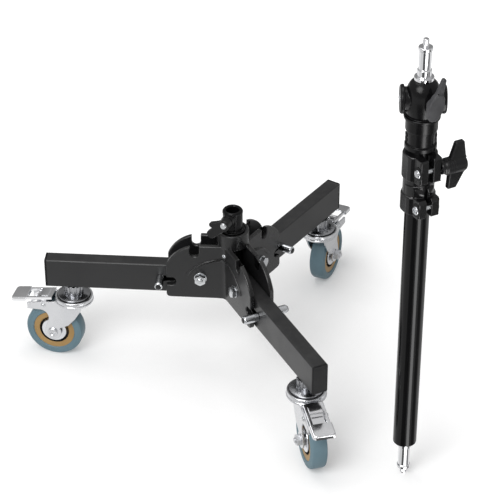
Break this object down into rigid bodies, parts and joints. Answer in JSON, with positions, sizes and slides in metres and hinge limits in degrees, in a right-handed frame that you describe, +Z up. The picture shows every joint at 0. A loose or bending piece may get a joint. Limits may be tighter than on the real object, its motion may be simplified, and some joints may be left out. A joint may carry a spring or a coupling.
{
  "type": "wheeled light stand",
  "caption": "Low folding three-legged light stand base on braked swivel casters, with a socket and a detachable telescopic column with a spigot at each end.",
  "frame": {"origin": "on the floor, on the axis of the hub socket", "axes": "+Z up along the socket, +Y away from the viewer of the picture, +X to its right, where the column stands"},
  "size_m": [0.5468, 0.516, 0.5904],
  "materials": {
    "leg_paint": "fine-textured dark powder coat",
    "casting_black": "satin black enamel on castings",
    "column_black": "semi-gloss black enamel",
    "bright_steel": "bright plated steel",
    "zinc_plate": "zinc-plated pressed steel",
    "spring_steel": "plain spring steel",
    "guard_metal": "satin disc",
    "tyre_grey": "matt blue-grey rubber",
    "core_ochre": "ochre moulded core",
    "pedal_grey": "ribbed moulded pedal",
    "moulded_black": "satin black moulding"
  },
  "bodies": {
    "hub": {"bracket_1": "casting_black", "bracket_2": "casting_black", "bracket_3": "casting_black", "socket_tube": "casting_black", "pivot_bolts": "bright_steel", "pivot_nuts": "bright_steel", "pivot_washers": "bright_steel", "bracket_screws": "bright_steel"},
    "socket_lever": {"socket_lever": "moulded_black", "socket_lever_screw": "bright_steel"},
    "leg_1": {"leg_tube_1": "leg_paint", "leg_cap_1": "moulded_black", "lock_spring_1": "spring_steel", "caster_stem_1": "zinc_plate", "caster_nut_1": "bright_steel"},
    "lock_pin_1": {"lock_pin_1": "bright_steel"},
    "swivel_1": {"caster_fork_1": "zinc_plate", "caster_axle_1": "zinc_plate"},
    "wheel_1": {"caster_tyre_1": "tyre_grey", "caster_core_1": "core_ochre", "caster_guards_1": "guard_metal"},
    "pedal_1": {"caster_pedal_1": "pedal_grey"},
    "leg_2": {"leg_tube_2": "leg_paint", "leg_cap_2": "moulded_black", "lock_spring_2": "spring_steel", "caster_stem_2": "zinc_plate", "caster_nut_2": "bright_steel"},
    "lock_pin_2": {"lock_pin_2": "bright_steel"},
    "swivel_2": {"caster_fork_2": "zinc_plate", "caster_axle_2": "zinc_plate"},
    "wheel_2": {"caster_tyre_2": "tyre_grey", "caster_core_2": "core_ochre", "caster_guards_2": "guard_metal"},
    "pedal_2": {"caster_pedal_2": "pedal_grey"},
    "leg_3": {"leg_tube_3": "leg_paint", "leg_cap_3": "moulded_black", "lock_spring_3": "spring_steel", "caster_stem_3": "zinc_plate", "caster_nut_3": "bright_steel"},
    "lock_pin_3": {"lock_pin_3": "bright_steel"},
    "swivel_3": {"caster_fork_3": "zinc_plate", "caster_axle_3": "zinc_plate"},
    "wheel_3": {"caster_tyre_3": "tyre_grey", "caster_core_3": "core_ochre", "caster_guards_3": "guard_metal"},
    "pedal_3": {"caster_pedal_3": "pedal_grey"},
    "column": {"bottom_spigot": "bright_steel", "outer_tube": "column_black", "clamp_body": "casting_black", "clamp_screws": "bright_steel"},
    "clamp_handle": {"clamp_handle": "moulded_black", "handle_insert": "bright_steel"},
    "riser": {"riser_tube": "column_black", "riser_plug": "moulded_black", "head_collar": "casting_black"},
    "head": {"head_housing": "casting_black", "head_discs": "moulded_black", "top_spigot": "bright_steel"},
    "wing_knob": {"wing_knob": "moulded_black"}
  },
  "joints": [
    {"name": "socket_lever_turn", "type": "hinge", "parent": "hub", "child": "socket_lever", "pos_m": [0, 0, 0.222], "axis": [-0.4067, -0.9135, 0], "range_deg": [-180, 60]},
    {"name": "leg_fold_1", "type": "hinge", "parent": "hub", "child": "leg_1", "pos_m": [-0.0399, 0.00286, 0.1365], "axis": [0.0715, 0.9974, 0], "range_deg": [0, 90]},
    {"name": "lock_pin_slide_1", "type": "slide", "parent": "leg_1", "child": "lock_pin_1", "axis": [0.9974, -0.0715, 0], "range_m": [0, 0.0155]},
    {"name": "caster_swivel_1", "type": "hinge", "parent": "leg_1", "child": "swivel_1", "pos_m": [-0.20497, 0.01469, 0.0895], "axis": [0, 0, 1], "continuous": true},
    {"name": "wheel_roll_1", "type": "hinge", "parent": "swivel_1", "child": "wheel_1", "pos_m": [-0.23125, 0.0209, 0.0375], "axis": [-0.23, -0.9732, 0], "continuous": true},
    {"name": "brake_pedal_1", "type": "hinge", "parent": "swivel_1", "child": "pedal_1", "pos_m": [-0.24195, 0.02343, 0.0775], "axis": [-0.23, -0.9732, 0], "range_deg": [0, 10]},
    {"name": "leg_fold_2", "type": "hinge", "parent": "hub", "child": "leg_2", "pos_m": [0.01747, -0.03598, 0.1365], "axis": [-0.8996, -0.4368, 0], "range_deg": [0, 90]},
    {"name": "lock_pin_slide_2", "type": "slide", "parent": "leg_2", "child": "lock_pin_2", "axis": [-0.4368, 0.8996, 0], "range_m": [0, 0.0155]},
    {"name": "caster_swivel_2", "type": "hinge", "parent": "leg_2", "child": "swivel_2", "pos_m": [0.08976, -0.18486, 0.0895], "axis": [0, 0, 1], "continuous": true},
    {"name": "wheel_roll_2", "type": "hinge", "parent": "swivel_2", "child": "wheel_2", "pos_m": [0.09648, -0.21101, 0.0375], "axis": [0.9686, 0.2487, 0], "continuous": true},
    {"name": "brake_pedal_2", "type": "hinge", "parent": "swivel_2", "child": "pedal_2", "pos_m": [0.09921, -0.22167, 0.0775], "axis": [0.9686, 0.2487, 0], "range_deg": [0, 10]},
    {"name": "leg_fold_3", "type": "hinge", "parent": "hub", "child": "leg_3", "pos_m": [0.02243, 0.03312, 0.1365], "axis": [0.8281, -0.5606, 0], "range_deg": [0, 90]},
    {"name": "lock_pin_slide_3", "type": "slide", "parent": "leg_3", "child": "lock_pin_3", "axis": [-0.5606, -0.8281, 0], "range_m": [0, 0.0155]},
    {"name": "caster_swivel_3", "type": "hinge", "parent": "leg_3", "child": "swivel_3", "pos_m": [0.11521, 0.17017, 0.0895], "axis": [0, 0, 1], "continuous": true},
    {"name": "wheel_roll_3", "type": "hinge", "parent": "swivel_3", "child": "wheel_3", "pos_m": [0.12619, 0.19483, 0.0375], "axis": [-0.9135, 0.4067, 0], "continuous": true},
    {"name": "brake_pedal_3", "type": "hinge", "parent": "swivel_3", "child": "pedal_3", "pos_m": [0.13067, 0.20488, 0.0775], "axis": [-0.9135, 0.4067, 0], "range_deg": [0, 10]},
    {"name": "column_carry", "type": "slide", "parent": "hub", "child": "column", "axis": [-0.5114, 0.568, 0.6448], "range_m": [0, 0.40475]},
    {"name": "clamp_handle_turn", "type": "hinge", "parent": "column", "child": "clamp_handle", "pos_m": [0.21608, -0.24772, 0.4376], "axis": [0.891, 0.454, 0], "range_deg": [-180, 180]},
    {"name": "riser_height", "type": "slide", "parent": "column", "child": "riser", "axis": [0, 0, 1], "range_m": [0, 0.15]},
    {"name": "head_turn", "type": "hinge", "parent": "riser", "child": "head", "pos_m": [0.207, -0.2299, 0.4955], "axis": [0, 0, 1], "continuous": true},
    {"name": "wing_knob_turn", "type": "hinge", "parent": "head", "child": "wing_knob", "pos_m": [0.21674, -0.25401, 0.522], "axis": [0.3746, -0.9272, 0], "range_deg": [-180, 180]}
  ]
}
